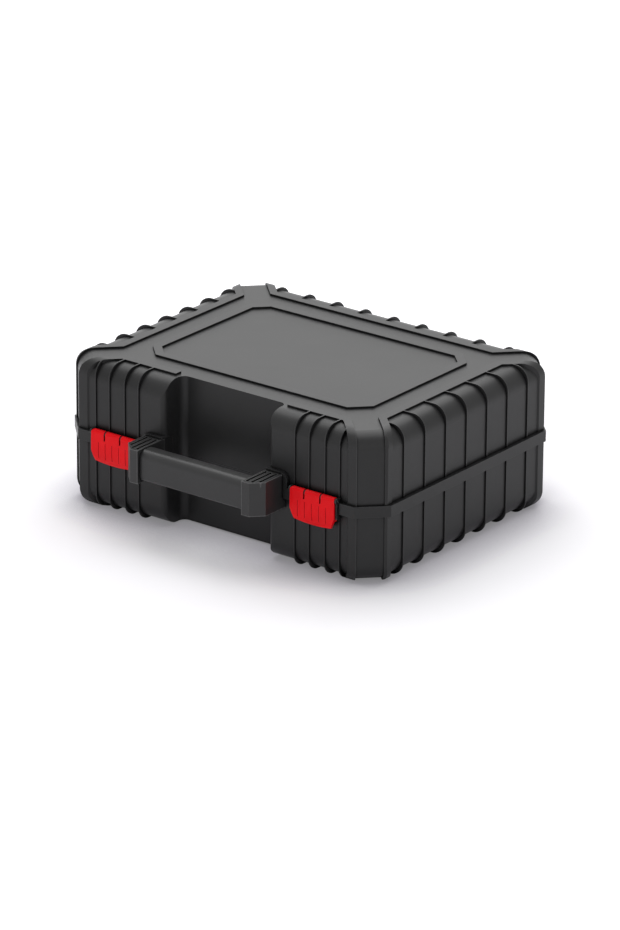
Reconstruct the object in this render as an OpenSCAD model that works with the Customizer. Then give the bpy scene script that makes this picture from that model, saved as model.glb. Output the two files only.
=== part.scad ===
// Hard tool case: two moulded shells with a hinged lid, two front latches and
// a fixed carrying handle that stands in front of a deep finger recess.
// X runs along the front, the front faces -Y, Z is up. The modules are drawn
// about the middle of the shells, and in_frame() moves them so that the origin
// is on the floor below the middle of the whole case. Millimetres.

/* [Shells] */
// Length over the flat side walls
case_length = 450.8; // [430:0.1:520]
// Depth over the flat front and back walls
case_depth = 350.7; // [300:0.1:400]
// Height from the floor to the raised lines on the lid
case_height = 182.5; // [165:0.5:210]
// Height of the lower shell's rim, where the lid starts
parting_height = 83; // [78:0.5:90]
// Thickness of the walls
wall = 2.6; // [2:0.1:3.5]
// How far each corner is cut off, measured along a side
corner_cut = 24; // [16:0.1:36]
// Rounding of the walls into the top and bottom
edge_radius = 22; // [18:0.5:30]
// Rounding of the cut corner faces into the top and bottom
corner_radius = 20.7; // [10:0.1:24]

/* [Ribs and raised lines] */
// How far the raised lines stand out of the top and bottom
relief = 2.4; // [1.5:0.1:3.5]
// How far the ribs and strips stand out of the upright walls
side_relief = 1.6; // [1:0.1:3]
// Rounding of the ribs and strips into the top and bottom
relief_radius = 18; // [10:0.1:22]
// Thickness of a rib
rib_thickness = 1.5; // [1.2:0.1:4]
// Spacing of the ribs on the left and right sides
side_rib_pitch = 39.9; // [30:0.1:45]
// Number of ribs on each side
side_rib_count = 7; // [3:2:7]
// Spacing of the ribs on the back
back_rib_pitch = 41.8; // [30:0.1:44]
// Number of ribs on the back
back_rib_count = 9; // [3:2:9]
// Distance from a latch's middle to the front rib on each side of it
front_rib_near = 11.3; // [8:0.1:14]
// Distance from a latch's middle to the next front rib on each side
front_rib_far = 31.8; // [26:0.1:36]
// Length over the raised line round the top
line_length = 390.5; // [360:0.5:400]
// Depth over the raised line round the top
line_depth = 292.8; // [262:0.1:300]
// How far the lines and the side ribs lie in front of the shells' middle
line_shift = 1.5; // [0:0.1:4]
// Width of the raised lines
line_width = 10; // [6:0.5:12]
// Clear width between the two raised strips at each corner
strip_gap = 31.8; // [24:0.1:38]
// Width of a corner strip
strip_width = 9; // [7:0.1:13]
// How far a front corner's strips lie from the middle of its cut face, towards the front
front_strip_shift = 1.6; // [-3:0.1:3]
// How far a back corner's strips lie from the middle of its cut face, towards the side
back_strip_shift = 0.5; // [-3:0.1:3]
// Gap between the finger recess and the ends of the front line
line_end_gap = 5.5; // [3:0.1:9]
// Length over the eight-sided line in the middle of the lid
panel_length = 321; // [280:1:330]
// Depth over the eight-sided line in the middle of the lid
panel_depth = 222.4; // [180:0.1:232]
// Corner cut of the eight-sided line
panel_cut = 21.5; // [15:0.5:35]

/* [Lid band] */
// Height of the band round the lid's lower edge
band_height = 13.5; // [10:0.5:18]
// How far the band stands out of the walls
band_reach = 5.6; // [5:0.1:8]
// How far each corner of the band is cut off, measured along a side
band_cut = 30.5; // [28:0.1:34]

/* [Finger recess] */
// Width of the recess behind the handle
recess_width = 151; // [130:1:160]
// Depth of the recess, from the front wall back
recess_depth = 34; // [25:0.1:45]
// Rounding in the recess's back corners
recess_fillet = 9; // [5:0.5:12]
// Rounding of the recess's front edges
recess_edge = 6.5; // [5:0.5:10]

/* [Handle] */
// Width of a handle end, along the case
end_width = 24.5; // [20:0.5:26]
// Height of a handle end
end_height = 41; // [36:0.5:46]
// Height of the underside of the handle ends above the floor
end_base = 71; // [66:0.5:76]
// How far the handle ends stand out of the front wall
handle_reach = 50.1; // [44:0.1:58]
// Corner cut on the outer front edge of a handle end
end_cut = 13.5; // [8:0.5:16]
// Depth of the grip, front to back
grip_depth = 24; // [20:0.5:27]
// Height of the grip
grip_height = 36; // [30:0.5:38]
// How far the grip's face lies behind the faces of the ends
grip_setback = 4; // [2:0.5:6]
// Wall of the hollow grip
grip_wall = 3; // [2:0.1:5]
// Diameter of the handle screws
screw_diameter = 4; // [3:0.5:5]
// Diameter of a screw's head
screw_head = 8.4; // [6:0.1:9]

/* [Latches] */
// Clear width between a latch and the handle end beside it
latch_gap = 14.25; // [13.5:0.05:16]
// Width of a latch
latch_width = 62.5; // [56:0.5:64]
// Height of a latch's lower edge above the floor
latch_foot = 65.2; // [62:0.1:67]
// Height of a latch's pin above the lower shell's rim
latch_pin_rise = 16; // [15:0.5:18]
// Diameter of a latch's pin
latch_pin_diameter = 3; // [2:0.5:3.5]
// Radius of the rolled top edge of a latch
latch_roll = 4; // [3.5:0.1:4.5]
// Thickness of a latch's plate
latch_plate = 3; // [2:0.1:3.6]

/* [Hinges] */
// Distance from a side wall to the middle of a hinge
hinge_inset = 100.4; // [90:0.1:135]
// Length of one hinge
hinge_length = 62; // [40:1:80]
// Diameter of a hinge pin
hinge_pin_diameter = 4; // [3:0.5:5]
// Outer radius of the hinge knuckles
knuckle_radius = 4.5; // [4:0.1:5.5]

/* [Clearances] */
// Gap between the lid and the lower shell
seam = 0.3; // [0.2:0.05:0.6]
// Gap round a pin in its bore, on the radius
pin_clearance = 0.05; // [0.02:0.01:0.1]
// Gap between neighbouring moving pieces
running_gap = 0.4; // [0.3:0.05:0.8]

/* [Hidden] */
$fn = 96;

half_x = case_length/2;
half_y = case_depth/2;
// Sum of the two coordinates on the cut corner faces
corner_sum = half_x + half_y - corner_cut;
// Middle of a cut corner face, as the difference of the two coordinates
corner_mid = half_x - half_y;
// Middle between the two strips of a front (-1) or back (1) corner, as the same difference
function strip_mid(end) = corner_mid
    + (end < 0 ? -front_strip_shift : back_strip_shift)*sqrt(2);
// Half the gap and the whole strip, as differences too
strip_near = strip_gap/sqrt(2);
strip_far = strip_near + strip_width*sqrt(2);
far = 40;
wide = half_x + half_y + far;
over = 1;
plastic = "#2b2b2d";
red = "#d8161e";
steel = "#9a9da2";

lid_base = parting_height + seam;
band_top = lid_base + band_height;
recess_back = -half_y + recess_depth;
front_y = -half_y;

// Handle
post_proud = 0.5;
post_face = front_y - post_proud;
end_front = front_y - handle_reach;
end_inner = recess_width/2;
end_outer = end_inner + end_width;
end_top = end_base + end_height;
grip_front = end_front + grip_setback;
grip_rise = 1;
grip_base = end_base + (end_height - grip_height)/2 + grip_rise;
grip_radii = [4, 8, 6, 10];
post_wall = 5.4;
post_side = 15;
tenon_length = 12;
tenon_inset = 6;
tenon_gap = 0.1;
screw_x = end_inner + end_width/2;
screw_inset = 8;
screw_low = end_base + screw_inset;
screw_high = end_top - screw_inset;
screw_bite = 15;
screw_head_height = 2.8;
head_sunk = 0.5;
hole_gap = 0.2;
thread_gap = 0.1;
slot_width = 3.2;
slot_pitch = 7;
slot_depth = 6;
slot_margin = 4;
slot_end = 3.3;
// The slots stand a little off the middle, and the outer one is shorter
slot_shift = 1;
slot_step = 6;

// Hood over each handle end
hood_wall = 2.3;
hood_top = end_top + hood_wall;
hood_margin = 6;
hood_outer = end_outer + running_gap + hood_margin;
hood_radius = 10;
hood_lip = 1.5;

// Lower shell's inner rim
rim_height = 6;
rim_wall = 2;
// How far joined pieces of one shell run into each other
weld = 0.1;

// Latches, and the middle of one from the middle of the case
latch_offset = end_outer + latch_gap + latch_width/2;
latch_pin_proud = 0.8;
latch_pin_y = front_y - band_reach - latch_pin_proud;
latch_pin_z = parting_height + latch_pin_rise;
ear_wall = 2.2;
ear_reach = 2;
ear_front = latch_pin_y - ear_reach;
ear_radius = 3.7;
lug_wall = 1.5;
lug_offset = 11.4;
lug_radius = 3.2;
lug_base = latch_pin_z - 3;
lug_slot_depth = 7;
plate_step = 0.6;
plate_rise = 0.4;
catch_height = 5.7;
catch_drop = 0.3;
catch_base = parting_height - catch_drop - catch_height;
hook_height = 3.4;
hook_gap = 0.6;
hook_bite = 3.5;
hook_tip = latch_pin_y + hook_bite;
hook_root = 0.4;
hook_slope = 1;
// The plate's face: its belly, and how far its foot is tucked back
latch_belly = 0.5;
latch_tuck = 1.2;
latch_taper = 5;
latch_taper_height = 12.5;
latch_bow = 2.6;
latch_margin = 4;
latch_corner = 3;
latch_mid = (latch_pin_z + latch_foot)/2;
latch_half_span = (latch_pin_z - latch_foot)/2;
groove_pitch = 10;
groove_width = 1;
groove_depth = 0.4;
groove_foot_gap = 4;
groove_roll_gap = 10;
groove_low = latch_foot + groove_foot_gap;
groove_high = latch_pin_z - groove_roll_gap;

// Hinges, and the middle of one from the middle of the case
hinge_offset = half_x - hinge_inset;
hinge_standoff = 1.5;
hinge_y = half_y + band_reach + knuckle_radius + hinge_standoff;
hinge_z = parting_height + seam/2;
knuckle_count = 5;
knuckle_web = 4;
web_gap = 0.2;

// The handle reaches further forward than the hinges reach back
frame_shift = -(end_front + hinge_y + knuckle_radius)/2;

// ---------------------------------------------------------------- helpers

module in_frame() {
    translate([0, frame_shift, 0]) children();
}

// Rectangle from low to high with one rounding radius per corner:
// low left, low right, high right, high left
module rounded_box_2d(low, high, radii) {
    corners = [low, [high[0], low[1]], high, [low[0], high[1]]];
    inward = [[1, 1], [-1, 1], [-1, -1], [1, -1]];
    difference() {
        translate(low) square(high - low);
        for (i = [0:3])
            if (radii[i] > 0)
                translate(corners[i])
                    scale_signs(inward[i]) corner_waste(radii[i]);
    }
}

// Mirrors its children so that +X and +Y point along the given signs
module scale_signs(signs) {
    mirror([signs[0] < 0 ? 1 : 0, 0]) mirror([0, signs[1] < 0 ? 1 : 0]) children();
}

// What a rounding takes off a square corner at the origin
module corner_waste(radius) {
    difference() {
        translate([-over, -over]) square(radius + over);
        translate([radius, radius]) circle(radius);
    }
}

module mirror_x() {
    children();
    mirror([1, 0, 0]) children();
}

// Extrudes a Y-Z outline along X, from x0 to x1
module along_x(x0, x1) {
    translate([x0, 0, 0]) rotate([90, 0, 90]) linear_extrude(x1 - x0) children();
}

// Extrudes an X-Z outline along Y, from y0 to y1
module along_y(y0, y1) {
    translate([0, y1, 0]) rotate([90, 0, 0]) linear_extrude(y1 - y0) children();
}

// A cylinder along X
module rod_x(x0, x1, y, z, radius) {
    translate([x0, y, z]) rotate([0, 90, 0]) cylinder(r = radius, h = x1 - x0);
}

// A cylinder along Y
module rod_y(y0, y1, x, z, radius) {
    translate([x, y0, z]) rotate([-90, 0, 0]) cylinder(r = radius, h = y1 - y0);
}

module box(low, high) {
    translate(low) cube(high - low);
}

// Eight-sided plan: half sizes, and the sum of x and y on its cut corners
module octagon(hx, hy, sum) {
    polygon([[hx, sum - hx], [sum - hy, hy], [hy - sum, hy], [-hx, sum - hx],
        [-hx, hx - sum], [hy - sum, -hy], [sum - hy, -hy], [hx, hx - sum]]);
}

// Plan of the case with its walls moved out by grow
module case_plan(grow) {
    octagon(half_x + grow, half_y + grow, corner_sum + grow*sqrt(2));
}

// Rounded block: the walls moved out by grow, between two heights
module case_block(grow, z0, z1, radius, corner) {
    intersection() {
        wall_faces(grow, z0, z1, radius);
        corner_faces(grow, z0, z1, corner);
    }
}

// The four walls with their roundings
module wall_faces(grow, z0, z1, radius) {
    intersection() {
        along_y(-wide, wide)
            rounded_box_2d([-half_x - grow, z0], [half_x + grow, z1], radius*[1, 1, 1, 1]);
        along_x(-wide, wide)
            rounded_box_2d([-half_y - grow, z0], [half_y + grow, z1], radius*[1, 1, 1, 1]);
    }
}

// The four cut corner faces with their roundings
module corner_faces(grow, z0, z1, corner) {
    reach = corner_sum/sqrt(2) + grow;
    intersection_for (turn = [-45, 45])
        rotate([0, 0, turn]) along_y(-wide, wide)
            rounded_box_2d([-reach, z0], [reach, z1], corner*[1, 1, 1, 1]);
}

// Plan of the finger recess, with its walls moved out by grow
module recess_plan(grow) {
    hw = recess_width/2 + grow;
    back = recess_back + grow;
    front = front_y + grow;
    rounded_box_2d([-hw, front - far], [hw, back],
        [0, 0, recess_fillet + grow, recess_fillet + grow]);
    for (side = [-1, 1])
        translate([side*hw, front]) scale_signs([side, 1])
            corner_waste(recess_edge - grow);
}

// ---------------------------------------------------------------- relief

// Plan of one rib that starts at y = start and runs out over the wall
module rib_plan(start) {
    translate([-rib_thickness/2, start]) square([rib_thickness, far]);
}

module ribs_plan() {
    difference() {
        union() {
            for (side = [-1, 1], i = [0:side_rib_count - 1])
                translate([0, (i - (side_rib_count - 1)/2)*side_rib_pitch - line_shift])
                    rotate(-90*side) rib_plan(line_length/2 - over);
            for (i = [0:back_rib_count - 1])
                translate([(i - (back_rib_count - 1)/2)*back_rib_pitch, 0])
                    rib_plan(line_depth/2 - line_shift - over);
            for (side = [-1, 1],
                    place = [-front_rib_far, -front_rib_near, front_rib_near, front_rib_far])
                translate([side*(latch_offset + place), 0])
                    rotate(180) rib_plan(line_depth/2 + line_shift - over);
        }
        corner_ground_plan(0);
    }
}

// Half of one long line with the corner strip that it turns into.
// edge is the line's outer edge, begin is where it starts, and the two offsets
// are the strip's outer and inner edges, as x - y.
module line_and_strip(edge, begin, outer_offset, inner_offset) {
    inner = edge - line_width;
    polygon([[begin, edge], [edge + outer_offset, edge],
        [edge + outer_offset + 2*far, edge + 2*far],
        [inner + inner_offset + 2*far, inner + 2*far],
        [inner + inner_offset, inner], [begin, inner]]);
}

module lines_plan() {
    for (side = [-1, 1])
        scale_signs([side, 1]) {
            line_and_strip(line_depth/2 - line_shift, -over, strip_mid(1) - strip_far,
                strip_mid(1) - strip_near);
            mirror([0, 1])
                line_and_strip(line_depth/2 + line_shift, end_inner + line_end_gap,
                    strip_mid(-1) - strip_far, strip_mid(-1) - strip_near);
            for (end = [-1, 1])
                scale_signs([1, end]) mirror([1, -1])
                    line_and_strip(line_length/2, -over, -strip_mid(end) - strip_far,
                        -strip_mid(end) - strip_near);
        }
}

// Plan of the ground between the two strips of each corner, let into them by grow
module corner_ground_plan(grow) {
    near = corner_sum - 3*edge_radius;
    out = corner_sum + 2*far;
    for (side = [-1, 1], end = [-1, 1])
        let (low = strip_mid(end) - strip_near - grow, high = strip_mid(end) + strip_near + grow)
        scale_signs([side, end])
            polygon([[near + low, near - low]/2, [near + high, near - high]/2,
                [out + high, out - high]/2, [out + low, out - low]/2]);
}

module panel_plan(inset) {
    translate([0, -line_shift])
        octagon(panel_length/2 - inset, panel_depth/2 - inset,
            (panel_length + panel_depth)/2 - panel_cut - inset*sqrt(2));
}

module panel_line_plan() {
    difference() {
        panel_plan(0);
        panel_plan(line_width);
    }
}

// Both shells without ribs and lines. The walls' rounding stops at each corner's
// strips, and the ground between them stays flat up to the cut corner face.
module plain_form(low, high) {
    intersection() {
        corner_faces(0, low, high, corner_radius);
        union() {
            wall_faces(0, low, high, edge_radius);
            translate([0, 0, low]) linear_extrude(high - low) intersection() {
                translate([-half_x, -half_y]) square([case_length, case_depth]);
                corner_ground_plan(weld);
            }
        }
    }
}

// Outer form of both shells with ribs and lines; children are the plan of
// what is raised in the middle
module outer_form() {
    plain_form(relief, case_height - relief);
    intersection() {
        case_block(side_relief, 0, case_height, relief_radius, corner_radius);
        linear_extrude(case_height) {
            ribs_plan();
            lines_plan();
            children();
        }
    }
}

// Space inside the walls
module inner_form() {
    difference() {
        case_block(-wall, relief + wall, case_height - relief - wall,
            edge_radius - wall, corner_radius - wall);
        translate([0, 0, -over]) linear_extrude(case_height + 2*over) recess_plan(wall);
    }
}

module recess_cut() {
    translate([0, 0, -over]) linear_extrude(case_height + 2*over) recess_plan(0);
}

// Closed ring of wall just inside the shells' walls
module rim_ring(gap) {
    difference() {
        inner_plan(gap);
        inner_plan(rim_wall + seam);
    }
}

module inner_plan(inset) {
    difference() {
        case_plan(-wall - inset);
        recess_plan(wall + inset);
    }
}

// ---------------------------------------------------------------- shells

module lower_shell() {
    color(plastic) {
        difference() {
            union() {
                difference() {
                    outer_form();
                    recess_cut();
                    inner_form();
                    box([-half_x - far, -half_y - far, parting_height],
                        [half_x + far, half_y + far, case_height + far]);
                }
                translate([0, 0, parting_height - 2*rim_height])
                    linear_extrude(2*rim_height) rim_ring(-weld);
                translate([0, 0, parting_height - over])
                    linear_extrude(rim_height + over) rim_ring(seam);
                mirror_x() handle_post();
                mirror_x() latch_catch();
            }
            mirror_x() post_screw_holes();
        }
        mirror_x() hinge_knuckles(0);
    }
}

// Upright piece of wall that carries a handle end and reaches up into the lid
module handle_post() {
    top = end_top + seam;
    base = end_base - over;
    box([end_inner, post_face, base],
        [end_outer, post_face + post_wall, top]);
    box([end_inner, post_face, base],
        [end_inner + wall + rim_wall, post_face + post_side, top]);
}

module post_screw_holes() {
    for (z = [screw_low, screw_high])
        rod_y(post_face - over, post_face + post_side, screw_x, z,
            screw_diameter/2 + hole_gap);
}

// Ledge under the lid's band that a latch hooks under, with its side cheeks
module latch_catch() {
    half = latch_width/2 + running_gap;
    box([latch_offset - half - ear_wall, front_y - band_reach, catch_base],
        [latch_offset + half + ear_wall, front_y + over, catch_base + catch_height]);
    for (x = [latch_offset - half - ear_wall, latch_offset + half])
        box([x, ear_front, catch_base],
            [x + ear_wall, front_y, catch_base + catch_height]);
}

module lid_shell() {
    color(plastic) {
        difference() {
            union() {
                difference() {
                    union() {
                        outer_form() panel_line_plan();
                        translate([0, 0, lid_base]) linear_extrude(band_height)
                            octagon(half_x + band_reach, half_y + band_reach,
                                half_x + half_y + 2*band_reach - band_cut);
                    }
                    recess_cut();
                    inner_form();
                    box([-half_x - far, -half_y - far, -far],
                        [half_x + far, half_y + far, lid_base]);
                }
                mirror_x() hood();
            }
            mirror_x() post_notch();
            mirror_x() latch_scoop();
        }
        mirror_x() latch_ears();
        mirror_x() hinge_knuckles(1);
    }
}

// Raised arch of the lid over a handle end
module hood() {
    along_y(front_y - band_reach, front_y + recess_edge)
        rounded_box_2d([end_inner, band_top - band_height],
            [end_inner + wall, hood_top], [0, 0, 0, hood_lip]);
    along_y(front_y - band_reach, front_y + wall - weld)
        rounded_box_2d([end_inner, band_top - band_height],
            [hood_outer, hood_top], [0, 0, hood_radius, hood_lip]);
}

// Clearance in the lid for the lower shell's handle post
module post_notch() {
    box([end_inner - over, front_y - far, parting_height - over],
        [end_outer + running_gap, front_y + post_side, end_top + seam + running_gap]);
}

// Room for the rolled edge of a latch in the band
module latch_scoop() {
    half = latch_width/2 + running_gap;
    rod_x(latch_offset - half, latch_offset + half, latch_pin_y, latch_pin_z,
        latch_roll + running_gap);
}

// Two outer ears and two thin lugs that hold a latch's pin
module latch_ears() {
    half = latch_width/2 + running_gap;
    for (x = [latch_offset - half - ear_wall, latch_offset + half])
        pin_plate(x, x + ear_wall, ear_radius, lid_base);
    for (x = [latch_offset - lug_offset, latch_offset + lug_offset])
        pin_plate(x - lug_wall/2, x + lug_wall/2, lug_radius, lug_base);
}

// One plate round a latch's pin, out from the front wall
module pin_plate(x0, x1, radius, base) {
    difference() {
        along_x(x0, x1) {
            translate([latch_pin_y, latch_pin_z]) circle(radius);
            translate([latch_pin_y, latch_pin_z])
                square([front_y - latch_pin_y + over, radius - plate_step]);
            translate([ear_front, base])
                square([front_y - ear_front + over, latch_pin_z - base + plate_rise]);
        }
        rod_x(x0 - over, x1 + over, latch_pin_y, latch_pin_z,
            latch_pin_diameter/2 + pin_clearance);
    }
}

// Knuckles of one hinge: part 0 is the lower shell's, part 1 the lid's
module hinge_knuckles(part) {
    pitch = hinge_length/knuckle_count;
    for (i = [part:2:knuckle_count - 1])
        knuckle(hinge_offset - hinge_length/2 + i*pitch + running_gap/2,
            hinge_offset - hinge_length/2 + (i + 1)*pitch - running_gap/2, part);
}

module knuckle(x0, x1, part) {
    lid_web = [half_y + band_reach - over, seam/2 + web_gap];
    base_web = [half_y - over, -seam/2 - web_gap - knuckle_web];
    web = part == 1 ? lid_web : base_web;
    difference() {
        along_x(x0, x1) {
            translate([hinge_y, hinge_z]) circle(knuckle_radius);
            translate([web[0], hinge_z + web[1]])
                square([hinge_y - web[0], knuckle_web]);
        }
        rod_x(x0 - over, x1 + over, hinge_y, hinge_z,
            hinge_pin_diameter/2 + pin_clearance);
    }
}

// ---------------------------------------------------------------- latches

// Where a latch's face lies at height z, as a Y coordinate
function latch_face(z) = let (bend = pow((z - latch_mid)/latch_half_span, 2))
    latch_pin_y - latch_roll - latch_belly*(1 - bend)
        + (z < latch_mid ? latch_tuck*bend*bend : 0);

// The face's outline between two heights, moved back by inset
function latch_curve(low, high, inset, steps) =
    [for (i = [0:steps]) let (z = low + (high - low)*i/steps) [latch_face(z) + inset, z]];

function turned_round(list) = [for (i = [len(list) - 1:-1:0]) list[i]];

// Side outline: rolled top round the pin, a slightly bellied plate and the
// hook that catches under the lower shell's ledge
module latch_profile() {
    inner_y = front_y - band_reach - running_gap;
    hook_top = catch_base - hook_gap;
    foot_back = latch_pin_y - latch_roll + latch_tuck + latch_plate - plate_step;
    translate([latch_pin_y, latch_pin_z]) circle(latch_roll);
    polygon(concat([[inner_y, latch_pin_z]],
        turned_round(latch_curve(latch_foot - latch_margin, latch_pin_z, 0, 12)),
        [[foot_back, latch_foot - latch_margin],
        [inner_y - hook_root, hook_top - hook_height - hook_slope],
        [inner_y - hook_root, hook_top - hook_height],
        [hook_tip, hook_top - hook_height], [hook_tip, hook_top], [inner_y, hook_top]]));
}

// Side outline of what a groove takes off a latch's face
module groove_profile() {
    front = latch_pin_y - 2*latch_roll;
    polygon(concat(latch_curve(groove_low, groove_high, groove_depth, 8),
        [[front, groove_high], [front, groove_low]]));
}

// Front outline: rounded top corners, tapered foot with a bowed lower edge
module latch_outline() {
    half = latch_width/2;
    steps = 10;
    foot = half - latch_taper;
    bow = [for (i = [0:steps])
        let (x = -foot + 2*foot*i/steps)
        [x, latch_foot - latch_bow*(1 - pow(x/foot, 2))]];
    polygon(concat(bow, [[half, latch_foot + latch_taper_height],
        [half, latch_pin_z], [-half, latch_pin_z],
        [-half, latch_foot + latch_taper_height]]));
    rounded_box_2d([-half, latch_pin_z - latch_margin], [half, latch_pin_z + latch_roll],
        [0, 0, latch_corner, latch_corner]);
}

module latch() {
    half = latch_width/2;
    difference() {
        intersection() {
            along_x(-half, half) latch_profile();
            along_y(latch_pin_y - far, latch_pin_y + far) latch_outline();
        }
        rod_x(-half - over, half + over, latch_pin_y, latch_pin_z,
            latch_pin_diameter/2 + pin_clearance);
        for (x = [-lug_offset, lug_offset])
            box([x - lug_wall/2 - running_gap, latch_pin_y - far,
                latch_pin_z - lug_slot_depth],
                [x + lug_wall/2 + running_gap, latch_pin_y + far, latch_pin_z + far]);
        for (i = [-2:2])
            along_x(i*groove_pitch - groove_width/2, i*groove_pitch + groove_width/2)
                groove_profile();
    }
}

module latch_left() {
    color(red) translate([-latch_offset, 0, 0]) latch();
}

module latch_right() {
    color(red) translate([latch_offset, 0, 0]) latch();
}

module latch_pin() {
    half = latch_width/2 + running_gap + ear_wall;
    rod_x(-half, half, latch_pin_y, latch_pin_z, latch_pin_diameter/2);
}

module latch_pin_left() {
    color(steel) translate([-latch_offset, 0, 0]) latch_pin();
}

module latch_pin_right() {
    color(steel) translate([latch_offset, 0, 0]) latch_pin();
}

module hinge_pin() {
    rod_x(hinge_offset - hinge_length/2, hinge_offset + hinge_length/2, hinge_y, hinge_z,
        hinge_pin_diameter/2);
}

module hinge_pin_left() {
    color(steel) mirror([1, 0, 0]) hinge_pin();
}

module hinge_pin_right() {
    color(steel) hinge_pin();
}

// ---------------------------------------------------------------- handle

tenon_low = [grip_front + tenon_inset, grip_base + tenon_inset];
tenon_high = [grip_front + grip_depth - tenon_inset, grip_base + grip_height - tenon_inset];
grip_screw_x = end_inner + tenon_length/2;
grip_screw_y = (tenon_low[0] + tenon_high[0])/2;
grip_screw_length = 17.5;

module handle_end() {
    difference() {
        translate([0, 0, end_base]) linear_extrude(end_height)
            polygon([[end_inner, post_face], [end_inner, end_front],
                [end_outer - end_cut, end_front], [end_outer, end_front + end_cut],
                [end_outer, post_face]]);
        for (i = [-1:1])
            end_slot(screw_x - slot_shift + i*slot_pitch, i == 1 ? slot_step : 0);
        along_x(end_inner - over, end_inner + tenon_length + 2*tenon_gap)
            translate(tenon_low - tenon_gap*[1, 1])
                square(tenon_high - tenon_low + 2*tenon_gap*[1, 1]);
        for (z = [screw_low, screw_high])
            rod_y(post_face - screw_bite - over, post_face + over, screw_x, z,
                screw_diameter/2 + thread_gap);
        translate([grip_screw_x, grip_screw_y, end_base - over])
            cylinder(r = screw_diameter/2 + thread_gap, h = end_height/2);
        translate([grip_screw_x, grip_screw_y, end_base - over])
            cylinder(r = screw_head/2 + hole_gap, h = screw_head_height + over);
    }
}

module end_slot(x, shorter) {
    box([x - slot_width/2, end_front + slot_margin + shorter, end_top - slot_depth],
        [x + slot_width/2, front_y - band_reach - slot_end, end_top + over]);
}

module handle_end_left() {
    color(plastic) mirror([1, 0, 0]) handle_end();
}

module handle_end_right() {
    color(plastic) handle_end();
}

// Section of the hollow grip, moved in by inset
module grip_section(inset) {
    rounded_box_2d([grip_front + inset, grip_base + inset],
        [grip_front + grip_depth - inset, grip_base + grip_height - inset],
        grip_radii - inset*[1, 1, 1, 1]);
}

module handle_grip() {
    color(plastic) difference() {
        union() {
            difference() {
                along_x(-end_inner, end_inner) grip_section(0);
                along_x(-end_inner + grip_wall, end_inner - grip_wall)
                    grip_section(grip_wall);
            }
            mirror_x() along_x(end_inner - grip_wall/2, end_inner + tenon_length)
                translate(tenon_low) square(tenon_high - tenon_low);
        }
        mirror_x() translate([grip_screw_x, grip_screw_y, end_base - over])
            cylinder(r = screw_diameter/2 + thread_gap, h = end_height/2 + over);
    }
}

// Screws that hold a handle end to the lower shell, driven from inside
module handle_screws() {
    head_face = post_face + post_wall;
    for (z = [screw_low, screw_high]) {
        rod_y(post_face - screw_bite, head_face + weld, screw_x, z, screw_diameter/2);
        rod_y(head_face, head_face + screw_head_height, screw_x, z, screw_head/2);
    }
}

module handle_screws_left() {
    color(steel) mirror([1, 0, 0]) handle_screws();
}

module handle_screws_right() {
    color(steel) handle_screws();
}

// Screws from below that pin the grip's tenons in the handle ends
module grip_screws() {
    color(steel) mirror_x() translate([grip_screw_x, grip_screw_y, end_base]) {
        translate([0, 0, head_sunk])
            cylinder(r = screw_head/2, h = screw_head_height - head_sunk);
        translate([0, 0, over]) cylinder(r = screw_diameter/2, h = grip_screw_length);
    }
}

in_frame() lower_shell();
in_frame() lid_shell();
in_frame() latch_left();
in_frame() latch_right();
in_frame() latch_pin_left();
in_frame() latch_pin_right();
in_frame() hinge_pin_left();
in_frame() hinge_pin_right();
in_frame() handle_end_left();
in_frame() handle_end_right();
in_frame() handle_grip();
in_frame() handle_screws_left();
in_frame() handle_screws_right();
in_frame() grip_screws();
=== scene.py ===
from math import radians, sin, cos

import bpy
from mathutils import Matrix, Vector

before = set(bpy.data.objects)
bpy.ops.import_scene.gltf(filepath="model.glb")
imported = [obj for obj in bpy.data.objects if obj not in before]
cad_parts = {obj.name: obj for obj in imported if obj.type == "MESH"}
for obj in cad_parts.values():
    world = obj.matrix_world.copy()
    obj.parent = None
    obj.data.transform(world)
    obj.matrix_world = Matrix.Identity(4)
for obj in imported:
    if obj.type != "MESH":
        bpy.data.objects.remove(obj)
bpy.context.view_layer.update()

# Lengths are in metres unless a comment says otherwise. The front of the case faces -Y.
WHITE = (1, 1, 1, 1)

# ---------------------------------------------------------------- camera
# The photograph's view: a long lens from the front right, a little above.
AZIMUTH = radians(37.3542)
ELEVATION = radians(21.4120)
ROLL = radians(0.3483)
SENSOR = 36.0                           # mm
LENS = 214.08                           # mm
DISTANCE = 6.4813                       # from the aim point
AIM_RIGHT, AIM_UP = 0.00160, 0.03695    # the aim point, across and up the picture
FRAME_Y, FRAME_Z = 0.01555, 0.00446     # where the fitted camera's own origin lies
CLIP_END = 50


def add_camera():
    right = Vector((cos(AZIMUTH), sin(AZIMUTH), 0))
    back = Vector((sin(AZIMUTH) * cos(ELEVATION), -cos(AZIMUTH) * cos(ELEVATION), sin(ELEVATION)))
    up = back.cross(right)
    turn = Matrix((right, up, back)).transposed() @ Matrix.Rotation(ROLL, 3, "Z")
    place = right * AIM_RIGHT + up * AIM_UP + back * DISTANCE + Vector((0, FRAME_Y, FRAME_Z))
    data = bpy.data.cameras.new("camera")
    data.sensor_width = SENSOR
    data.lens = LENS
    data.clip_end = CLIP_END
    camera = bpy.data.objects.new("camera", data)
    bpy.context.scene.collection.objects.link(camera)
    camera.matrix_world = Matrix.Translation(place) @ turn.to_4x4()
    bpy.context.scene.camera = camera


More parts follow.
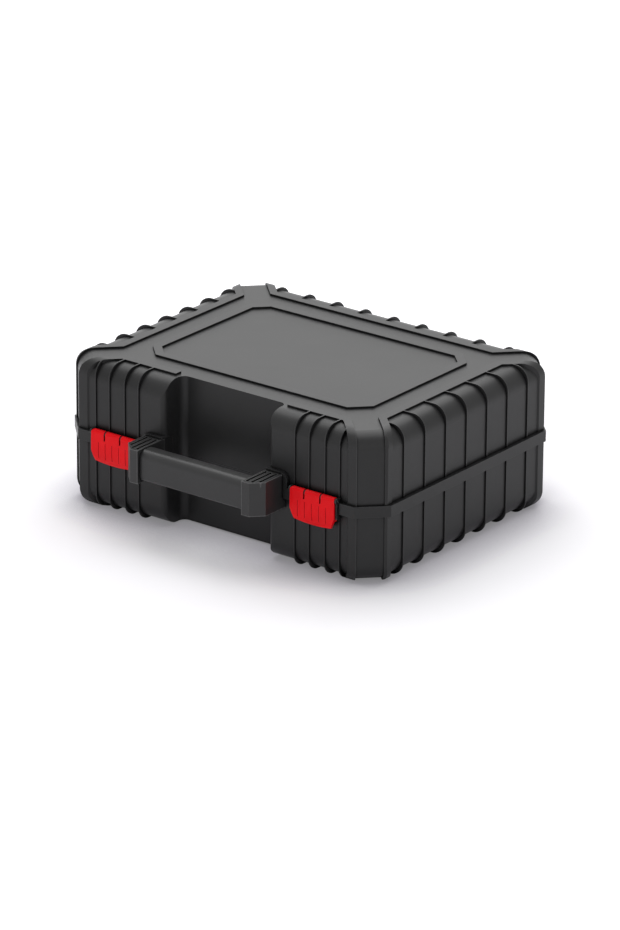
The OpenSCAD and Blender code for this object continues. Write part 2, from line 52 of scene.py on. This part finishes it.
# ---------------------------------------------------------------- nodes
class Graph:
    """A material's or world's nodes, with short words for making and joining them."""

    def __init__(self, owner):
        owner.use_nodes = True
        self.tree = owner.node_tree
        self.tree.nodes.clear()

    def feed(self, socket, value):
        """Joins an input socket to another node's output, or gives it a plain value."""
        if isinstance(value, bpy.types.NodeSocket):
            self.tree.links.new(value, socket)
        else:
            socket.default_value = value

    def add(self, kind, **values):
        """Adds a node. A name starting with a capital is an input socket, any other a property."""
        node = self.tree.nodes.new("ShaderNode" + kind)
        for key, value in values.items():
            if key[0].isupper():
                self.feed(node.inputs[key.replace("_", " ")], value)
            else:
                setattr(node, key, value)
        return node

    def math(self, operation, *values):
        node = self.add("Math", operation=operation)
        for socket, value in zip(node.inputs, values):
            self.feed(socket, value)
        return node.outputs[0]

    def mix(self, factor, first, second):
        """Mixes two colours, which a Mix node takes after its numbers and vectors."""
        node = self.add("Mix", data_type="RGBA")
        for index, value in ((0, factor), (6, first), (7, second)):
            self.feed(node.inputs[index], value)
        return node.outputs[2]

    def ramp(self, factor, *stops):
        """Adds a ramp of two stops, each a place from 0 to 1 and the colour or grey there."""
        node = self.add("ValToRGB")
        self.feed(node.inputs[0], factor)
        for element, (place, value) in zip(node.color_ramp.elements, stops):
            element.position = place
            element.color = value if isinstance(value, tuple) else (value, value, value, 1)
        return node.outputs[0]

    def combine(self, kind, first, second, **values):
        """Adds a MixShader or AddShader, which take two shaders at their last two inputs."""
        node = self.add(kind, **values)
        for socket, shader in zip(list(node.inputs)[-2:], (first, second)):
            self.feed(socket, shader.outputs[0])
        return node.outputs[0]

    def seen(self):
        """1 for what the camera sees, straight, in a reflection or through glass, and 0 for light."""
        rays = self.add("LightPath").outputs
        mirrored = self.math("MAXIMUM", rays["Is Glossy Ray"], rays["Is Transmission Ray"])
        return self.math("MAXIMUM", rays["Is Camera Ray"], mirrored)

    def output(self, shader, kind="OutputMaterial"):
        self.feed(self.add(kind).inputs["Surface"], shader)


def shaded(colour, amount):
    return tuple(channel * amount for channel in colour[:3]) + (1,)


# ---------------------------------------------------------------- materials
CLOUD_SCALE = 14.0        # of the uneven tone, in patches of about 7 cm
TONE_SPREAD = 0.1         # how far the uneven tone goes up and down, as a share
ROUGH_SPREAD = 0.08       # how far the grain spreads the roughness
BUMP_STRENGTH = 0.35
# Samples for the painted edge highlight, then for the painted crease shade.
EDGE_HIGHLIGHT_SAMPLES = 6
CREASE_SHADE_SAMPLES = 8
CREASE_SHADE_TO = 0.8           # the openness from which none of the painted crease shade is left
CREASE_SHADE = 0.15       # the colour of the painted shade at the bottom of a crease, as a share of the surface's
# The painted crease shade is also rough and barely reflects, so reflections in creases are darkened
# too.
CREASE_ROUGHNESS = 0.8
CREASE_SPECULAR = 0.05


def moulded_plastic(name, *, colour, edge_highlight_colour, roughness, grain, grain_scale,
                    crease_shade_size, edge_highlight_size, specular, crease_shade_from=0.35):
    """Moulded plastic: a fine grain, an uneven tone, painted shade in its creases and a painted
    highlight along its edges.
    """
    material = bpy.data.materials.new(name)
    g = Graph(material)
    where = g.add("TexCoord").outputs["Object"]
    cloud = g.add("TexNoise", Vector=where, Scale=CLOUD_SCALE, Detail=3.0, Roughness=0.5)
    fine = g.add("TexNoise", Vector=where, Scale=grain_scale, Detail=2.0, Roughness=0.6).outputs["Fac"]
    tone = g.ramp(cloud.outputs["Fac"],
                  (0.35, shaded(colour, 1 - TONE_SPREAD)), (0.65, shaded(colour, 1 + TONE_SPREAD)))
    # Painted highlight: where the solid is thin inside, at its edges, the tone is mixed towards a
    # lighter edge colour.
    edge_highlight_ao = g.add("AmbientOcclusion", Distance=edge_highlight_size, samples=EDGE_HIGHLIGHT_SAMPLES, inside=True)
    tone = g.mix(g.ramp(edge_highlight_ao.outputs["AO"], (0.45, 1.0), (0.85, 0.0)), tone, edge_highlight_colour)
    # Painted shade: where the surface is closed in, in creases and recesses, it turns into a dark,
    # dull shader.
    crease_shade_ao = g.add("AmbientOcclusion", Distance=crease_shade_size, samples=CREASE_SHADE_SAMPLES)
    unshaded_share = g.ramp(crease_shade_ao.outputs["AO"], (crease_shade_from, 0.0), (CREASE_SHADE_TO, 1.0))
    rough = g.math("MULTIPLY_ADD", fine, ROUGH_SPREAD, roughness - ROUGH_SPREAD / 2)
    bump = g.add("Bump", Strength=BUMP_STRENGTH, Distance=grain, Height=fine).outputs["Normal"]
    skin = g.add("BsdfPrincipled", Base_Color=tone, Roughness=rough, Normal=bump,
                 Specular_IOR_Level=specular)
    painted_crease_shade = g.add("BsdfPrincipled", Base_Color=shaded(colour, CREASE_SHADE),
                 Roughness=CREASE_ROUGHNESS, Specular_IOR_Level=CREASE_SPECULAR)
    g.output(g.combine("MixShader", painted_crease_shade, skin, Fac=unshaded_share))
    return material


STEEL_STRETCH = (30.0, 900.0, 900.0)    # the drawn lines run along X
STEEL_DARK, STEEL_LIGHT = (0.42, 0.43, 0.45, 1), (0.62, 0.63, 0.65, 1)


def drawn_steel(name):
    """Bright steel with fine lines along its length."""
    material = bpy.data.materials.new(name)
    g = Graph(material)
    where = g.add("TexCoord").outputs["Object"]
    stretch = g.add("Mapping", Vector=where, Scale=STEEL_STRETCH).outputs[0]
    lines = g.add("TexNoise", Vector=stretch, Scale=1.0, Detail=2.0).outputs["Fac"]
    tone = g.ramp(lines, (0.3, STEEL_DARK), (0.7, STEEL_LIGHT))
    rough = g.ramp(lines, (0.3, 0.28), (0.7, 0.42))
    skin = g.add("BsdfPrincipled", Base_Color=tone, Roughness=rough, Metallic=1.0)
    g.output(skin.outputs[0])
    return material


# ---------------------------------------------------------------- stage
# The world's level: what it gives as light, and what is added where it is seen, up to white.
SKY_LIGHT, SKY_SEEN = 0.45, 0.55

LAMP_AIM = (0, 0, 0.1)
LAMPS = (    # name, place, width and height, power in watts
    ("top_lamp", (-0.5, 0.6, 2.4), (2.4, 2.4), 42),
    ("back_lamp", (-1.9, 2.5, 1.5), (4.4, 2.8), 31),
    ("front_lamp", (1.2, -2.4, 1.3), (1.8, 1.4), 12),
)

FLOOR_HALF = 12.0
FLOOR_SHADE_REACH = 0.10                # how far something above the floor darkens it with painted shadow
FLOOR_SHADE_SAMPLES = 8
FLOOR_PAINTED_SHADOW = (0.36, 0.33, 0.41, 1)     # the painted shadow under the case, a violet grey
FLOOR_OPEN = (0.88, 0.87, 0.90, 1)
# The glow that turns the floor white: a distance from the frame's origin and the strength there.
GLOW_NEAR, GLOW_FAR = (0.32, 0.18), (0.84, 0.55)
GLOW_SPAN = 2.0                         # the distance at the end of the ramp


def add_world():
    world = bpy.data.worlds.new("world")
    bpy.context.scene.world = world
    g = Graph(world)
    level = g.math("MULTIPLY_ADD", g.seen(), SKY_SEEN, SKY_LIGHT)
    sky = g.add("Background", Color=WHITE, Strength=level)
    g.output(sky.outputs[0], "OutputWorld")


def add_lamp(name, place, size, power):
    data = bpy.data.lights.new(name, "AREA")
    data.shape = "RECTANGLE"
    data.size, data.size_y = size
    data.energy = power
    lamp = bpy.data.objects.new(name, data)
    bpy.context.scene.collection.objects.link(lamp)
    lamp.location = place
    lamp.rotation_euler = (Vector(place) - Vector(LAMP_AIM)).to_track_quat("Z", "Y").to_euler()


def floor_material():
    """A pale floor with a painted violet-grey shadow under the case, that is seen as white away from
    it.
    """
    material = bpy.data.materials.new("floor")
    g = Graph(material)
    # Painted shadow: the closer something stands above the floor, the nearer the floor's colour goes
    # to the violet grey.
    under = g.add("AmbientOcclusion", Distance=FLOOR_SHADE_REACH, samples=FLOOR_SHADE_SAMPLES)
    painted_shadow_tint = g.ramp(under.outputs["AO"], (0.35, FLOOR_PAINTED_SHADOW), (0.85, FLOOR_OPEN))
    ground = g.add("BsdfDiffuse", Color=painted_shadow_tint)
    away = g.add("VectorMath", operation="LENGTH", Vector=g.add("TexCoord").outputs["Object"])
    share = g.math("MULTIPLY", away.outputs["Value"], 1 / GLOW_SPAN)
    fade = g.ramp(share, *((distance / GLOW_SPAN, strength)
                           for distance, strength in (GLOW_NEAR, GLOW_FAR)))
    glow = g.add("Emission", Color=WHITE, Strength=g.math("MULTIPLY", g.seen(), fade))
    g.output(g.combine("AddShader", ground, glow))
    return material


def add_floor():
    half = FLOOR_HALF
    corners = [(-half, -half, 0), (half, -half, 0), (half, half, 0), (-half, half, 0)]
    mesh = bpy.data.meshes.new("floor")
    mesh.from_pydata(corners, [], [(0, 1, 2, 3)])
    floor = bpy.data.objects.new("floor", mesh)
    bpy.context.scene.collection.objects.link(floor)
    mesh.materials.append(floor_material())


add_camera()
add_world()
add_floor()
for lamp in LAMPS:
    add_lamp(*lamp)

# ---------------------------------------------------------------- looks
# Each edge colour below is a painted highlight, and each crease size is how far the painted shade
# reaches.
BLACK = moulded_plastic(
    "black_plastic", colour=(0.018, 0.018, 0.0184), edge_highlight_colour=(0.05, 0.05, 0.051, 1),
    roughness=0.40, grain=0.00003, grain_scale=1400.0,
    crease_shade_size=0.009, edge_highlight_size=0.0008, specular=0.25)
HANDLE = moulded_plastic(
    "handle_plastic", colour=(0.027, 0.027, 0.0275), edge_highlight_colour=(0.15, 0.15, 0.151, 1),
    roughness=0.38, grain=0.00003, grain_scale=1400.0,
    crease_shade_size=0.006, edge_highlight_size=0.0015, specular=0.32, crease_shade_from=0.52)
RED = moulded_plastic(
    "red_plastic", colour=(0.86, 0.004, 0.009), edge_highlight_colour=(0.92, 0.02, 0.03, 1),
    roughness=0.36, grain=0.00002, grain_scale=1200.0,
    crease_shade_size=0.003, edge_highlight_size=0.0010, specular=0.12)
STEEL = drawn_steel("steel")

LOOKS = {
    "lower_shell": BLACK, "lid_shell": BLACK,
    "handle_end_left": HANDLE, "handle_end_right": HANDLE, "handle_grip": HANDLE,
    "latch_left": RED, "latch_right": RED,
    "latch_pin_left": STEEL, "latch_pin_right": STEEL,
    "hinge_pin_left": STEEL, "hinge_pin_right": STEEL,
    "handle_screws_left": STEEL, "handle_screws_right": STEEL, "grip_screws": STEEL,
}
SHARP_ANGLE = radians(28)     # an edge that turns by more than this stays sharp


def dress(node, material):
    """Gives a CAD node its material, and shades its curves smooth."""
    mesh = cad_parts[node].data
    mesh.materials.clear()
    mesh.materials.append(material)
    mesh.shade_smooth()
    mesh.set_sharp_from_angle(angle=SHARP_ANGLE)


for node, material in LOOKS.items():
    dress(node, material)

bpy.context.scene.view_settings.view_transform = "Standard"
